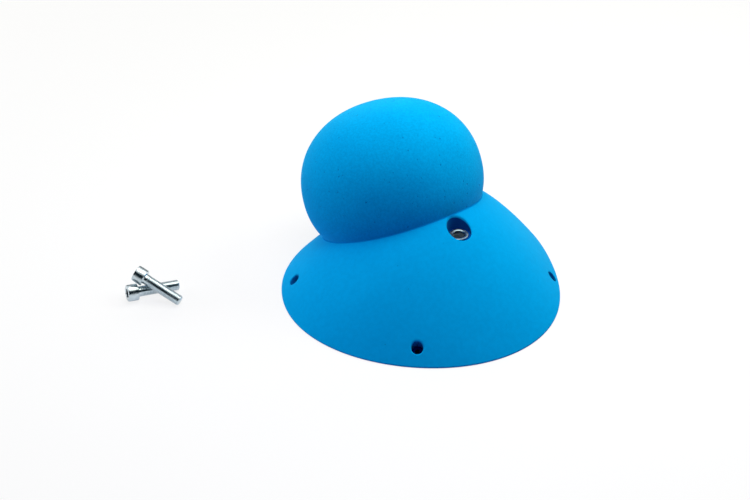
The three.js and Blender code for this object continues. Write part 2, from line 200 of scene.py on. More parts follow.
def gelcoat(name):
    look, both = gelcoats[name], gelcoats["both"]
    material, tree, place = newMaterial(name)
    cloud = add(tree, "TexNoise", {"Vector": place, "Scale": perMm(both["cloudMm"]), "Detail": 3.0})
    grain = add(tree, "TexNoise", {"Vector": place, "Scale": perMm(look["grainMm"] * 2), "Detail": 4.0,
                                   "Roughness": 0.6})
    # pinholes lie in cells whose edges are warped, only some cells hold one, and each has its width
    warp = add(tree, "TexNoise", {"Vector": place, "Scale": perMm(both["warpMm"]), "Detail": 1.0})
    nudge = add(tree, "VectorMath", {0: warp.outputs["Color"], 1: (both["warpReachMm"] * mm,) * 3,
                                     2: place}, operation="MULTIPLY_ADD")
    cells = add(tree, "TexVoronoi", {"Vector": nudge, "Scale": perMm(look["pitMm"])})
    pick = add(tree, "SeparateColor", {"Color": cells.outputs["Color"]})
    width = add(tree, "MapRange", {"Value": pick, "From Min": 0.35, "From Max": 1.0, "To Min": 0.0001,
                                   "To Max": look["pitShare"]})
    pit = add(tree, "MapRange", {"Value": cells, "From Min": 0.0, "From Max": width, "To Min": 1.0,
                                 "To Max": 0.0}, interpolation_type="SMOOTHSTEP")
    # chopped strands: stretched streaks in three directions, the lightest on top
    strands = None
    for lean in ((0.0, 0.0, 0.3), (0.6, 0.2, 1.4), (0.2, 0.7, 2.5)):
        leaned = add(tree, "Mapping", {"Vector": place, "Rotation": lean, "Scale": (1.0, 0.06, 0.3)})
        streak = add(tree, "TexNoise", {"Vector": leaned, "Scale": perMm(both["strandMm"]), "Detail": 2.0})
        if strands is None:
            strands = streak
        else:
            strands = add(tree, "Math", {0: strands, 1: streak}, operation="MAXIMUM")
    strandStep = add(tree, "MapRange", {"Value": strands, "From Min": 0.5, "From Max": 0.72})
    coat = add(tree, "Mix", {0: cloud, 6: linear(look["shade"]), 7: linear(look["colour"])},
               data_type="RGBA")
    # the grain's hollows hold a little shade
    hollow = add(tree, "MapRange", {"Value": grain, "From Min": 0.62, "From Max": 0.4,
                                    "To Max": look["grainShade"]})
    shaded = add(tree, "Mix", {0: hollow, 6: coat.outputs[2], 7: linear(both["hollow"])}, data_type="RGBA")
    # painted shade darkens the pinholes
    pitted = add(tree, "Mix", {0: pit, 6: shaded.outputs[2], 7: linear(both["pit"])}, data_type="RGBA")
    laminate = add(tree, "Mix", {0: strandStep, 6: linear(both["resin"]), 7: linear(both["strand"])},
                   data_type="RGBA")
    raw = add(tree, "Attribute", {}, attribute_name="raw").outputs["Fac"]
    bore = add(tree, "Attribute", {}, attribute_name="bore").outputs["Fac"]
    # painted shade in the holes: up to 1 a hole's wall grows darker, and from 1 to 2 its bottom goes towards
    # black
    wall = add(tree, "Mix", {0: bore, 6: pitted.outputs[2], 7: linear(both["holeWallShade"])}, data_type="RGBA")
    deep = add(tree, "Math", {0: bore, 1: 1.0}, operation="SUBTRACT", use_clamp=True)
    lined = add(tree, "Mix", {0: deep, 6: wall.outputs[2], 7: linear(both["holeBottomShade"])}, data_type="RGBA")
    colour = add(tree, "Mix", {0: raw, 6: lined.outputs[2], 7: laminate.outputs[2]}, data_type="RGBA")
    grainBump = add(tree, "Bump", {"Height": grain, "Distance": look["grainDepthMm"] * mm})
    pitBump = add(tree, "Bump", {"Height": pit, "Distance": look["pitDepthMm"] * mm, "Normal": grainBump},
                  invert=True)
    strandHeight = add(tree, "Math", {0: strandStep, 1: raw}, operation="MULTIPLY")
    strandBump = add(tree, "Bump", {"Height": strandHeight, "Distance": both["strandDepthMm"] * mm,
                                    "Normal": pitBump})
    return finish(material, add(tree, "BsdfPrincipled", {
        "Base Color": colour.outputs[2], "Roughness": look["roughness"], "Normal": strandBump, **blueGloss,
        "Sheen Weight": look["sheen"], "Sheen Roughness": 0.4, "Sheen Tint": linear(both["sheenTint"])}))


# Polyester filler, sanded along the crease: the same blue, duller than the gelcoat, and a touch darker
# as painted shade in the crease
fillerLook = {"dark": "#007cc8", "pale": "#018cda", "grainMm": 2.5, "depthMm": 0.08, "roughness": 0.8}


def filler(name):
    material, tree, place = newMaterial(name)
    grain = add(tree, "TexNoise", {"Vector": place, "Scale": perMm(fillerLook["grainMm"]), "Detail": 3.0})
    return twoTone(material, fillerLook, grain, grain, blueGloss)


# Laminated sleeve: glass fibre wound round in grey resin, rough and half shiny
sleeveLook = {"dark": "#5f7075", "pale": "#93a2a6", "fibreMm": 1.5, "depthMm": 0.2, "roughness": 0.5}


def sleeveLaminate(name):
    material, tree, place = newMaterial(name)
    stretched = add(tree, "Mapping", {"Vector": place, "Scale": (0.25, 0.25, 1.0)})
    fibre = add(tree, "TexNoise", {"Vector": stretched, "Scale": perMm(sleeveLook["fibreMm"]),
                                   "Detail": 4.0})
    ramp = add(tree, "MapRange", {"Value": fibre, "From Min": 0.35, "From Max": 0.68})
    return twoTone(material, sleeveLook, ramp, fibre, {"Specular IOR Level": 0.35})


# Birch plywood: pale veneers about 1.35 mm thick, every other one end-grained and darker, with
# long grain on the face. The layers are stacked along one axis of the object.
plyLook = {"faceDark": "#b98a56", "facePale": "#e3c796", "edgeDark": "#7a5330", "edgePale": "#a87c4c",
           "veneerMm": 1.35, "grainMm": 2.2, "fleckMm": 0.9, "depthMm": 0.15, "roughness": 0.78}


def plywood(name, across):
    look = plyLook
    material, tree, place = newMaterial(name)
    parts = add(tree, "SeparateXYZ", {"Vector": place})
    # 0 in the middle of one veneer and 0.5 in the middle of the next
    depth = add(tree, "Math", {0: parts.outputs[across], 1: perMm(look["veneerMm"] * 2), 2: 0.25},
                operation="MULTIPLY_ADD")
    saw = add(tree, "Math", {0: depth, 1: 0.5}, operation="PINGPONG")
    layer = add(tree, "MapRange", {"Value": saw, "From Min": 0.2, "From Max": 0.3},
                interpolation_type="SMOOTHSTEP")
    stretch = {"X": (1.0, 0.05, 0.25), "Y": (0.05, 1.0, 0.25), "Z": (1.0, 0.05, 1.0)}[across]
    along = add(tree, "Mapping", {"Vector": place, "Scale": stretch})
    grain = add(tree, "TexNoise", {"Vector": along, "Scale": perMm(look["grainMm"]), "Detail": 5.0,
                                   "Roughness": 0.65, "Distortion": 0.4})
    fleck = add(tree, "TexNoise", {"Vector": place, "Scale": perMm(look["fleckMm"]), "Detail": 2.0})
    face = add(tree, "Mix", {0: grain, 6: linear(look["faceDark"]), 7: linear(look["facePale"])},
               data_type="RGBA")
    edge = add(tree, "Mix", {0: fleck, 6: linear(look["edgeDark"]), 7: linear(look["edgePale"])},
               data_type="RGBA")
    colour = add(tree, "Mix", {0: layer, 6: face.outputs[2], 7: edge.outputs[2]}, data_type="RGBA")
    bump = add(tree, "Bump", {"Height": grain, "Distance": look["depthMm"] * mm})
    return finish(material, add(tree, "BsdfPrincipled", {
        "Base Color": colour.outputs[2], "Roughness": look["roughness"], "Normal": bump,
        "Specular IOR Level": 0.3}))


# Bright zinc plate on steel: a cool silver with soft reflections and a faint mottle, which is duller
# on the washers than on the bolts, and darker there as painted shade for washers deep in their holes
zincLooks = {
    "washer_zinc": {"dark": "#788f9c", "pale": "#b4c9d4", "roughness": 0.32, "mottleMm": 2.5, "depthMm": 0.01},
    "bolt_zinc": {"dark": "#a6b6be", "pale": "#d6e1e5", "roughness": 0.12, "mottleMm": 4.0, "depthMm": 0.01},
}


def zincPlate(name):
    look = zincLooks[name]
    material, tree, place = newMaterial(name)
    mottle = add(tree, "TexNoise", {"Vector": place, "Scale": perMm(look["mottleMm"]), "Detail": 4.0})
    dull = add(tree, "MapRange", {"Value": mottle, "To Min": look["roughness"] * 0.8,
                                  "To Max": look["roughness"] * 1.25})
    return twoTone(material, look, mottle, mottle, {"Metallic": 1.0, "Roughness": dull})


domeGelcoat = gelcoat("dome_gelcoat")
ballGelcoat = gelcoat("ball_gelcoat")
creaseFiller = filler("crease_filler")
sleeveGlass = sleeveLaminate("sleeve_laminate")
washerZinc = zincPlate("washer_zinc")
boltZinc = zincPlate("bolt_zinc")
plyFlat = plywood("plywood_flat", "Z")
plyLengthwise = plywood("plywood_lengthwise", "X")
plyCrosswise = plywood("plywood_crosswise", "Y")
print("materials made")


dome = {
    "peak": (15.5, 7.5), "peakHeight": 95.8, "rimRadius": 133.4, "rimEdge": 1.6,
    # shares of the slow waves in the outline and in the flank's power
    "rimCos": (-0.087, -0.029, -0.03), "rimSin": (-0.081, 0.027, -0.027),
    "flank": 1.6, "flankCos": (-0.043, 0.003), "flankSin": (0.03, 0.066),
    "wallTop": 6.5, "wallRim": 8.5, "rimInset": 0.1,
    # the rounded foot of the rim: inset and height of each line
    "foot": ((0.1, 0.6), (0.18, 0.3), (0.4, 0.08), (0.7, 0.0)),
    "around": 300, "outwards": 62, "insideAround": 180, "insideOutwards": 34,
    # what the even rings of points keep from a hole and from other edges, how far out the closer
    # rings lie round each hole, and the least room that a hole's rings keep from the rim
    "nearHole": 4.2, "nearEdge": 1.2, "holeRings": (1.1, 2.6), "edgeRoom": 0.8,
}
ball = {
    "centre": (-26.9, 41.2, 83.8), "halfWidth": 86.5, "halfDepth": 78.6, "halfTop": 77.9,
    "halfUnder": 72.0, "fullness": 2.151, "lean": -13.4, "pitch": -20.5, "wall": 6.0, "ledge": 14.0,
    "around": 320, "upwards": 120, "insideUpwards": 60,
}
seatGap = 0.3  # what bonded and fitted pieces keep between them
wallIn = (dome["wallRim"], dome["wallTop"])  # draws the base lobe's surface in to its inside


def wave(angle, cosShares, sinShares):
    # one, plus a few slow cosine and sine waves
    share = np.ones_like(angle)
    for k, (c, s) in enumerate(zip(cosShares, sinShares), 1):
        share = share + c * np.cos(k * angle) + s * np.sin(k * angle)
    return share


def rimRadius(angle):
    # reach of the rim from the peak: the mean radius times its waves
    return dome["rimRadius"] * wave(angle, dome["rimCos"], dome["rimSin"])


def domeHeight(x, y, rimIn=0.0, topIn=0.0):
    # rim height plus the rise times (1 - the share of the way to the rim, to the flank's power);
    # rimIn and topIn draw the surface in to that of the inside
    px, py = dome["peak"]
    angle = np.arctan2(y - py, x - px)
    share = np.hypot(x - px, y - py) / (rimRadius(angle) - rimIn)
    power = dome["flank"] * wave(angle, dome["flankCos"], dome["flankSin"])
    rise = dome["peakHeight"] - topIn - dome["rimEdge"]
    return dome["rimEdge"] + rise * (1 - np.minimum(share, 1) ** power)


def aboutPeak(reach, angle):
    # plan points: the peak plus the reach times the angle's cosine and sine
    return np.stack([dome["peak"][0] + reach * np.cos(angle), dome["peak"][1] + reach * np.sin(angle)], -1)


def rimCurve(angle, inset=0.0):
    # the outline in plan, drawn in by the inset
    return aboutPeak(rimRadius(angle) - inset, angle)


def atHeight(plan, z):
    # plan points with one height, or with one each
    return np.column_stack([plan, np.zeros(len(plan)) + z])


def onDome(plan, rimIn=0.0, topIn=0.0):
    # plan points lifted onto the base lobe
    return atHeight(plan, domeHeight(plan[:, 0], plan[:, 1], rimIn, topIn))


def ballPoint(azimuth, latitude, inset=0.0):
    # a pillow: the section |across|^n + |up|^n = 1, turned round, then leaned and pitched
    n = ball["fullness"]
    across, up = np.maximum(np.cos(latitude), 0), np.sin(latitude)
    scale = (across ** n + np.abs(up) ** n) ** (-1 / n)
    halfUp = np.where(up > 0, ball["halfTop"], ball["halfUnder"]) - inset
    p = np.stack([across * scale * np.cos(azimuth) * (ball["halfWidth"] - inset),
                  across * scale * np.sin(azimuth) * (ball["halfDepth"] - inset), up * scale * halfUp], -1)
    leaning = turnAbout(0, np.radians(ball["pitch"])) @ turnAbout(1, np.radians(ball["lean"]))
    return p @ leaning.T + np.array(ball["centre"])


def meetingLatitude(azimuth, inset, rimIn=0.0, topIn=0.0):
    # latitude at which the ball's surface, drawn in by the inset, passes through the flank, found
    # by halving the range between the ball's top and its bottom
    high, low = np.full_like(azimuth, np.pi / 2), np.full_like(azimuth, -np.pi / 2)
    for _ in range(45):
        middle = (high + low) / 2
        p = ballPoint(azimuth, middle, inset)
        above = p[:, 2] > domeHeight(p[:, 0], p[:, 1], rimIn, topIn)
        high, low = np.where(above, middle, high), np.where(above, low, middle)
    return high


# a bolt hole's place is a bearing from the peak and how far towards the rim it lies, and shades say
# how much painted shade darkens the hole's skins: up to 1 towards a deep blue, and from 1 to 2 on towards
# black
boltHoles = {
    "front": {"degrees": -65.0, "rimShare": 0.2984, "seatDepth": 8.85, "crispAt": 107.0},
    "rear": {"degrees": 65.9, "rimInset": 29.8, "seat": 12.0, "crispAt": 262.0},
    "boreRadius": 5.5, "counterboreRadius": 11.4, "rounding": 1.4, "roundingSwing": 0.7,
    "shade": 0.76, "around": 128,
}
screwHoles = {
    # bearing from the peak, distance from the rim, rounding of the mouth
    "places": ((-99.2, 12.4, 1.6), (-167.8, 12.4, 1.2), (-9.0, 6.6, 0.5), (100.0, 12.4, 1.2)),
    "mouthRadius": 5.4, "pilotRadius": 2.5, "lean": 22.0, "depthShare": 0.55, "footHeight": 0.2,
    "wallShade": 0.38, "floorShade": 1.7, "pilotShade": 1.8, "around": 72,
}
cupWall = 0.2  # how thick the holes' skins are where they stand inside the lobe
upright = np.array([0.0, 0.0, 1.0])


def flatRing(centre, axis, radius, steps):
    # ring square to the axis: the centre plus the radius times a cosine and a sine
    side = unit(np.cross(axis, (0.3, 1.0, 0.2)))
    other = np.cross(axis, side)
    a = np.arange(steps)[:, None] / steps * turn
    return centre + radius * (np.cos(a) * side + np.sin(a) * other)


def surfaceRing(centre, axis, radius, steps, rimIn=0.0, topIn=0.0):
    # where a round bar meets the flank: each point of a flat ring is slid along the axis, most of
    # the way at a time, until it lies on the surface
    ring = flatRing(centre, axis, radius, steps)
    for _ in range(60):
        short = (domeHeight(ring[:, 0], ring[:, 1], rimIn, topIn) - ring[:, 2]) / axis[2]
        ring = ring + axis * short[:, None] * 0.7
    return ring


def quadratic(first, corner, last, count):
    # rows of a curve from the first to the last: (1-t)^2 first + 2t(1-t) corner + t^2 last
    t = np.linspace(0, 1, count)[:, None, None]
    return (1 - t) ** 2 * first + 2 * t * (1 - t) * corner + t ** 2 * last


def lipRows(centre, axis, radius, rounding, steps):
    # rounded lip: a curve from the surface, past the sharp corner, down the wall
    outer = surfaceRing(centre, axis, radius + rounding, steps)
    corner = surfaceRing(centre, axis, radius, steps)
    return quadratic(outer, corner, corner - axis * rounding, 6)


def roomToRim(points):
    # how far inside the rim each point lies, on its own bearing from the peak
    out = points[:, :2] - dome["peak"]
    return rimRadius(np.arctan2(out[:, 1], out[:, 0])) - np.hypot(*out.T)


def between(first, last, count):
    # rows in even steps from the first ring to the last
    t = np.linspace(0, 1, count)[:, None, None]
    return first * (1 - t) + last * t


holes = []  # of each: the lip's outer ring, the ring where it meets the lobe's inside, and its skins
for side in ("front", "rear"):
    hole, steps = boltHoles[side], boltHoles["around"]
    angle = np.radians(hole["degrees"])
    rim = float(rimRadius(np.array([angle]))[0])
    reach = rim * hole["rimShare"] if "rimShare" in hole else rim - hole["rimInset"]
    centre = hole["centre"] = onDome(aboutPeak(reach, angle)[None, :])[0]
    hole["seat"] = hole["seat"] if "seat" in hole else centre[2] - hole["seatDepth"]
    radius, boreRadius = boltHoles["counterboreRadius"], boltHoles["boreRadius"]
    # the lip is crisp on the side towards the rim and rounder on the side towards the peak
    facing = np.arange(steps)[:, None] / steps * turn - np.radians(hole["crispAt"])
    rounding = boltHoles["rounding"] - boltHoles["roundingSwing"] * np.cos(facing)
    lip = lipRows(centre, upright, radius, rounding, steps)
    floorAt = centre * (1, 1, 0) + upright * hole["seat"]
    lowered = floorAt - upright * cupWall
    wall = between(lip[-1], flatRing(floorAt, upright, radius, steps), 8)
    floor = between(wall[-1], flatRing(floorAt, upright, boreRadius, steps), 5)
    bore = between(floor[-1], flatRing(lowered, upright, boreRadius, steps), 2)
    inside = surfaceRing(centre, upright, radius + cupWall, steps, *wallIn)
    cup = np.stack([inside, flatRing(lowered, upright, radius + cupWall, steps), bore[-1]])
    high, shade = floorAt + upright * 8, boltHoles["shade"]
    holes.append({"ring": lip[0], "inside": inside, "skins": [
        skin(cup, awayFrom=floorAt, raw=1.0),
        skin(lip, awayFrom=floorAt - upright * 40),
        skin(wall, towards=high, bore=shade),
        skin(floor, towards=high, bore=shade),
        skin(bore, towards=floorAt - upright, bore=shade)]})
for degrees, inset, rounding in screwHoles["places"]:
    angle, steps = np.radians(degrees), screwHoles["around"]
    centre = onDome(rimCurve(np.array([angle]), inset))[0]
    lean = np.radians(screwHoles["lean"])
    axis = np.array([np.sin(lean) * np.cos(angle), np.sin(lean) * np.sin(angle), np.cos(lean)])
    radius, pilot = screwHoles["mouthRadius"], screwHoles["pilotRadius"]
    lip = lipRows(centre, axis, radius, rounding, steps)
    floorAt = centre - axis * centre[2] * screwHoles["depthShare"]
    wall = between(lip[-1], flatRing(floorAt, axis, radius, steps), 5)
    floor = between(wall[-1], flatRing(floorAt, axis, pilot, steps), 3)
    start = floor[-1] + axis * ((screwHoles["footHeight"] - floor[-1][:, 2]) / axis[2])[:, None]
    bore = between(floor[-1], start, 3)
    # outside of the hole's skin, from the lobe's inside to the foot; a hole close to the rim meets
    # the inside a little further in
    inside = surfaceRing(centre, axis, radius + cupWall, steps, *wallIn)
    past = (dome["wallRim"] + dome["edgeRoom"] - roomToRim(inside)).max()
    inside[:, :2] -= unit((inside[:, :2] - dome["peak"]).mean(0)) * max(past, 0)
    inside = onDome(inside[:, :2], *wallIn)
    lowered = floorAt - axis * cupWall
    pilotOut = flatRing(lowered, axis, pilot + cupWall, steps)
    foot = pilotOut + axis * ((screwHoles["footHeight"] - pilotOut[:, 2]) / axis[2])[:, None]
    cup = np.stack([inside, flatRing(lowered, axis, radius + cupWall, steps), pilotOut, foot, start])
    high = floorAt + axis * 3
    holes.append({"ring": lip[0], "inside": inside, "screw": (floorAt, axis), "skins": [
        skin(cup, awayFrom=floorAt, raw=1.0),
        skin(lip, awayFrom=floorAt - axis * 40),
        skin(wall, towards=high, bore=screwHoles["wallShade"]),
        skin(floor, towards=high, bore=screwHoles["floorShade"]),
        skin(bore, towards=bore.mean((0, 1)), bore=screwHoles["pilotShade"])]})
print("holes worked out:", len(holes))


def insidePolygon(points, loop):
    # even-odd rule: counts the loop's edges that a line to the right crosses
    x, y = points[:, 0][:, None], points[:, 1][:, None]
    ax, ay = loop[:, 0][None, :], loop[:, 1][None, :]
    bx, by = np.roll(loop[:, 0], -1)[None, :], np.roll(loop[:, 1], -1)[None, :]
    crosses = (ay > y) != (by > y)
    at = ax + (y - ay) / np.where(by == ay, 1e-12, by - ay) * (bx - ax)
    return (crosses & (x < at)).sum(1) % 2 == 1


def clearOf(points, loop, distance):
    # the points outside the loop that are at least the distance from each of its own points,
    # worked out in eight parts to spare memory
    near = [(np.hypot(*(part[:, None, :] - loop[None]).transpose(2, 0, 1)) < distance).any(1)
            for part in np.array_split(points, 8)]
    return points[~insidePolygon(points, loop) & ~np.concatenate(near)]


def coverPlan(outline, openings, filling):
    # triangles over the plan between the outline and the openings, which keep their edges
    loops = [outline] + openings
    points = np.concatenate(loops + [filling])
    starts = np.cumsum([0] + [len(loop) for loop in loops[:-1]])
    edges = []
    for loop, start in zip(loops, starts):
        k = np.arange(len(loop))
        edges.append(np.column_stack([k, np.roll(k, -1)]) + start)
    edges = np.concatenate(edges)
    # all triangles of the hull of the points, of which those over the plan are kept
    made = delaunay_2d_cdt([Vector(p) for p in points.tolist()], edges.tolist(), [], 0, 1e-7, False)
    plan = np.array([tuple(v) for v in made[0]])
    faces = np.array([f[:3] for f in made[2]])
    middle = plan[faces].mean(1)
    keep = insidePolygon(middle, outline)
    for loop in openings:
        keep &= ~insidePolygon(middle, loop)
    return plan, faces[keep]


def polarFilling(around, outwards, inset):
    # points of the plan on rings about the peak, a little closer together towards the rim, every
    # other ring turned by half a step
    share = (np.arange(1, outwards)[:, None] / outwards) ** 0.9
    step = (np.arange(around)[None, :] + 0.5 * (np.arange(1, outwards)[:, None] % 2)) / around * turn
    return aboutPeak(share * (rimRadius(step) - inset), step).reshape(-1, 2)


rimAngles = np.arange(dome["around"]) / dome["around"] * turn
ballAngles = np.arange(ball["around"]) / ball["around"] * turn
portInset = ball["wall"] + ball["ledge"]
portOuter = ballPoint(ballAngles, meetingLatitude(ballAngles, portInset), portInset)
portInner = ballPoint(ballAngles, meetingLatitude(ballAngles, portInset, *wallIn), portInset)

# outer surface: even rings, with closer rings round each hole
filling = polarFilling(dome["around"], dome["outwards"], 0.0)
openings = [h["ring"][:, :2] for h in holes]
for loop in openings:
    filling = clearOf(filling, loop, dome["nearHole"])
for loop in openings:
    spoke = loop - loop.mean(0)
    for grow in dome["holeRings"]:
        closer = loop.mean(0) + spoke * (1 + grow / np.hypot(*spoke.T))[:, None]
        filling = np.concatenate([filling, closer[roomToRim(closer) > dome["edgeRoom"]][::2]])
port = portOuter[:, :2]
filling = clearOf(filling, port, dome["nearEdge"])
outline = rimCurve(rimAngles, dome["rimInset"])
plan, faces = coverPlan(outline, openings + [port], filling)
lookFrom = np.array([*dome["peak"], 20.0])  # a point in the hollow, moved up or down for each skin
domeSkins = [faced(onDome(plan), faces, awayFrom=lookFrom)]

# rim: down from the flank's edge, round the corner, under the foot and up inside
edge = np.stack([onDome(outline)] + [atHeight(rimCurve(rimAngles, inset), z) for inset, z in dome["foot"]])
innerRim = rimCurve(rimAngles, dome["wallRim"])
trimmed = np.stack([edge[-1], atHeight(innerRim, 0.0)])
innerRise = np.stack([atHeight(innerRim, 0.0), atHeight(innerRim, dome["rimEdge"])])
domeSkins += [skin(edge, awayFrom=lookFrom + upright * 20),
              skin(trimmed, awayFrom=lookFrom + upright * 20, raw=1.0),
              skin(innerRise, towards=lookFrom - upright * 19, raw=1.0)]

# inside surface, bare laminate, opened for the holes
filling = polarFilling(dome["insideAround"], dome["insideOutwards"], dome["wallRim"])
openings = [h["inside"][:, :2] for h in holes] + [portInner[:, :2]]
for loop in openings:
    filling = clearOf(filling, loop, dome["nearEdge"])
plan, faces = coverPlan(innerRim, openings, filling)
domeSkins += [faced(onDome(plan, *wallIn), faces, towards=lookFrom - upright * 80, raw=1.0),
              skin(between(portOuter, portInner, 4), towards=portInner.mean(0), raw=1.0)]
for h in holes:
    domeSkins += h["skins"]
addPiece("base_lobe", domeSkins, domeGelcoat, "dome_shell", "dome_laminate", outwards=True)


def ballRows(inset, lowest, count):
    # from the top down to the lowest latitude of each azimuth, in even steps of latitude
    t = (np.arange(count + 1) / count)[:, None]
    latitude = np.pi / 2 + (lowest[None, :] - np.pi / 2) * t
    return ballPoint(np.broadcast_to(ballAngles, latitude.shape), latitude, inset)


outerRows = ballRows(0.0, meetingLatitude(ballAngles, 0.0, -seatGap, -seatGap), ball["upwards"])
innerRows = ballRows(ball["wall"], meetingLatitude(ballAngles, ball["wall"], -seatGap, -seatGap),
                     ball["insideUpwards"])
ballMiddle = np.array(ball["centre"])
ballSkins = [
    skin(outerRows, awayFrom=ballMiddle),
    skin(innerRows, towards=ballMiddle, raw=1.0),
    skin(between(outerRows[-1], innerRows[-1], 4), awayFrom=ballMiddle, raw=1.0),
]
addPiece("ball_lobe", ballSkins, ballGelcoat, "ball_shell", "ball_laminate", outwards=True)


# legs up the two lobes, share of them by which the curve's middle bulges, and depth of the edges
crease = {"leg": 1.2, "bulge": 0.1225, "sink": 0.04, "steps": 9}


def units(rows):
    # each row divided by its length
    return rows / np.linalg.norm(rows, axis=1)[:, None]


def towardsSide(across, normal):
    # each direction turned, if need be, to the side to which the normal points
    return across * np.sign((across * normal).sum(1))[:, None]


def filletRows():
    # a quadratic curve carried round the crease, from the flank, past the corner, up the ball; the
    # lobes' normals come from small steps in plan and in angle, and a cross product gives the
    # directions that lie in each lobe, square to the crease
    latitude = meetingLatitude(ballAngles, 0.0)
    p = ballPoint(ballAngles, latitude)
    e, d = 0.02, 1e-4
    slopeX = (domeHeight(p[:, 0] + e, p[:, 1]) - domeHeight(p[:, 0] - e, p[:, 1])) / (2 * e)
    slopeY = (domeHeight(p[:, 0], p[:, 1] + e) - domeHeight(p[:, 0], p[:, 1] - e)) / (2 * e)
    offFlank = units(np.column_stack([-slopeX, -slopeY, np.ones(len(p))]))
    east = ballPoint(ballAngles + d, latitude) - ballPoint(ballAngles - d, latitude)
    north = ballPoint(ballAngles, latitude + d) - ballPoint(ballAngles, latitude - d)
    offBall = units(np.cross(east, north))
    along = units(np.cross(offFlank, offBall))
    outward = towardsSide(np.cross(along, offFlank), offBall)
    upward = towardsSide(np.cross(along, offBall), offFlank)
    low = p + outward * crease["leg"] - offFlank * crease["sink"]
    high = p + upward * crease["leg"] - offBall * crease["sink"]
    corner = p + (outward + upward) * crease["leg"] * crease["bulge"]
    sunk = p - (offFlank + offBall) * crease["sink"]
    return np.concatenate([quadratic(low, corner, high, crease["steps"]), [sunk, low]])


creaseSkins = [skin(filletRows(), awayFrom=ballMiddle - upright * 44)]
addPiece("crease_line", creaseSkins, creaseFiller, "crease_fillet", "filler")


# the relief widens the top of the bore under the hole's own skin
sleeve = {"radius": 16.0, "chamfer": 0.8, "relief": 0.4, "reliefFrom": 1.6, "reliefTo": 1.8}
washer = {"radius": 9.0, "hole": 5.25, "thickness": 1.6, "edge": 0.28, "sink": 0.9}


def ringsAbove(foot, profile):
    # level rings about an upright line, one for each radius and height of the profile
    return np.stack([flatRing(foot + upright * z, upright, radius, boltHoles["around"])
                     for radius, z in profile])


def underLobe(foot, radius):
    # ring against the inside of the base lobe, lowered by the gap
    plan = flatRing(foot, upright, radius, boltHoles["around"])[:, :2]
    return onDome(plan, *wallIn) - upright * seatGap


def sleeveSkins(foot, seat):
    # turned about the bore: down the bore, under the foot, up the outside, back over the top
    bore, cut = boltHoles["boreRadius"], boltHoles["counterboreRadius"] + seatGap
    wide, radius, c = bore + sleeve["relief"], sleeve["radius"], sleeve["chamfer"]
    top = seat - seatGap
    inner = underLobe(foot, cut)
    inner[:, 2] = np.maximum(inner[:, 2], top)
    lower = ringsAbove(foot, [(wide, top), (wide, seat - sleeve["reliefFrom"]),
                              (bore, seat - sleeve["reliefTo"]), (bore, c), (bore + c, 0.0),
                              (radius - c, 0.0), (radius, c)])
    upper = ringsAbove(foot, [(cut, top), (wide, top)])
    rows = np.concatenate([lower, [underLobe(foot, radius), inner], upper])
    middle = foot + upright * seat / 2
    return [skin(rows[:5], towards=middle), skin(rows[4:6], awayFrom=middle + upright * 50),
            skin(rows[5:8], awayFrom=middle), skin(rows[7:], towards=middle + upright * 200)]


def washerSkins(foot, low):
    # turned about the hole: its wall and countersunk edge, the top, the rim and the underside, with
    # a point in the middle of each rounded edge, 0.3 of the edge in from the corner
    r, h, t, e = washer["radius"], washer["hole"], washer["thickness"], washer["edge"]
    k = washer["sink"]
    profile = [(h, e), (h, t - k), (h + k * 0.45, t - k * 0.5), (h + k, t), (r - e, t),
               (r - e * 0.3, t - e * 0.3), (r, t - e), (r, e), (r - e * 0.3, e * 0.3), (r - e, 0.0),
               (h + e, 0.0), (h + e * 0.3, e * 0.3), (h, e)]
    rows = ringsAbove(foot, [(radius, low + z) for radius, z in profile])
    middle = foot + upright * (low + t / 2)
    return [skin(rows[:3], towards=middle), skin(rows[2:6], towards=middle + upright * 500),
            skin(rows[5:9], awayFrom=middle), skin(rows[8:], awayFrom=middle + upright * 500)]


for side in ("front", "rear"):
    foot, seat = boltHoles[side]["centre"] * (1, 1, 0), boltHoles[side]["seat"]
    addPiece(side + "_sleeve", sleeveSkins(foot, seat), sleeveGlass, side + "_bolt_sleeve",
             "sleeve_laminate")
    addPiece(side + "_washer", washerSkins(foot, seat + seatGap), washerZinc, side + "_bolt_washer",
             "washer_steel", sharp=50)


ring = {"width": 26.0, "thickness": 12.0, "slopeRows": 6, "chamfer": 0.4}


def ringRows():
    # carried round the rim: the foot, the outer edge, which follows the inside of the base lobe's
    # flank, and the top
    drop = dome["wallTop"] + seatGap
    power = dome["flank"] * wave(rimAngles, dome["flankCos"], dome["flankSin"])
    rise = dome["peakHeight"] - drop - dome["rimEdge"]
    top = (1 - (ring["thickness"] - dome["rimEdge"]) / rise) ** (1 / power)
    full = rimRadius(rimAngles) - (dome["wallRim"] + seatGap)
    inner = full - ring["width"]
    c = ring["chamfer"]
    profile = [(inner, c), (inner + c, 0.0), (full - c, 0.0), (full, c)]
    for k in range(ring["slopeRows"]):
        share = 1 + (top - 1) * k / (ring["slopeRows"] - 1)
        profile.append((full * share, dome["rimEdge"] + rise * (1 - share ** power)))
    profile += [(inner + c, ring["thickness"]), (inner, ring["thickness"] - c)]
    return np.stack([atHeight(aboutPeak(reach, rimAngles), z) for reach, z in profile + profile[:1]])


def roundCutter(foot, axis, sections, steps=64):
    # closed bar of round sections, each a distance along the axis and a radius
    rows = [flatRing(foot + axis * along, axis, radius, steps) for along, radius in sections]
    rows = [rows[0] * 0 + rows[0].mean(0)] + rows + [rows[-1] * 0 + rows[-1].mean(0)]  # closed ends
    middle = foot + axis * np.mean([s[0] for s in sections])
    mesh = meshOf("cutter", [skin(np.stack(rows), awayFrom=middle)])
    cutter = bpy.data.objects.new("cutter", mesh)
    scene.collection.objects.link(cutter)
    return cutter


